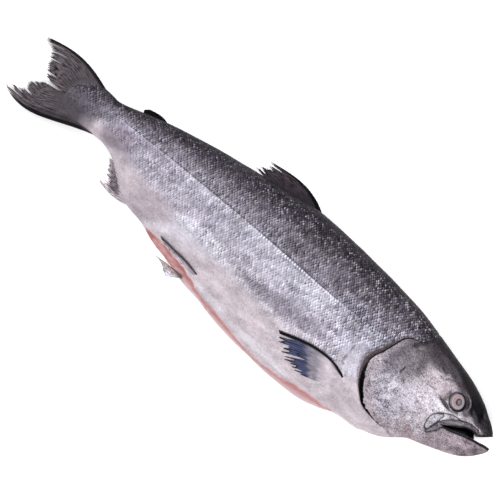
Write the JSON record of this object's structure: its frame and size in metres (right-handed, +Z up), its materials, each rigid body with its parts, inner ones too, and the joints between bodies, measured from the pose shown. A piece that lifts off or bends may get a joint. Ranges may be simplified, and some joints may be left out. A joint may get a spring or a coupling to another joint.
{
  "type": "raw whole salmon",
  "caption": "Raw whole salmon with its head on, gutted through a slit along the belly, lying on its left side with the mouth a little open.",
  "frame": {"origin": "on the table, under the middle of the fish's bounding box", "axes": "+X from tail to head, +Y from belly to back, +Z up out of the table, which is the fish's right side"},
  "size_m": [0.767, 0.212, 0.0965],
  "materials": {
    "skin": "wet scaled skin, dark slate on the back, silver on the flanks, pinkish white on the belly",
    "fin": "thin wet membrane between fine rays, nearly black, paler towards the belly",
    "flesh": "moist pale pink cut flesh",
    "mouth_lining": "wet, nearly black skin of the mouth and gums",
    "tooth": "smooth ivory",
    "eye": "clouded wet eyeball with a pinkish grey iris and a dull grey-blue pupil"
  },
  "bodies": {
    "root": {"fish": "skin", "eye_right": "eye", "eye_left": "eye"}
  },
  "joints": []
}
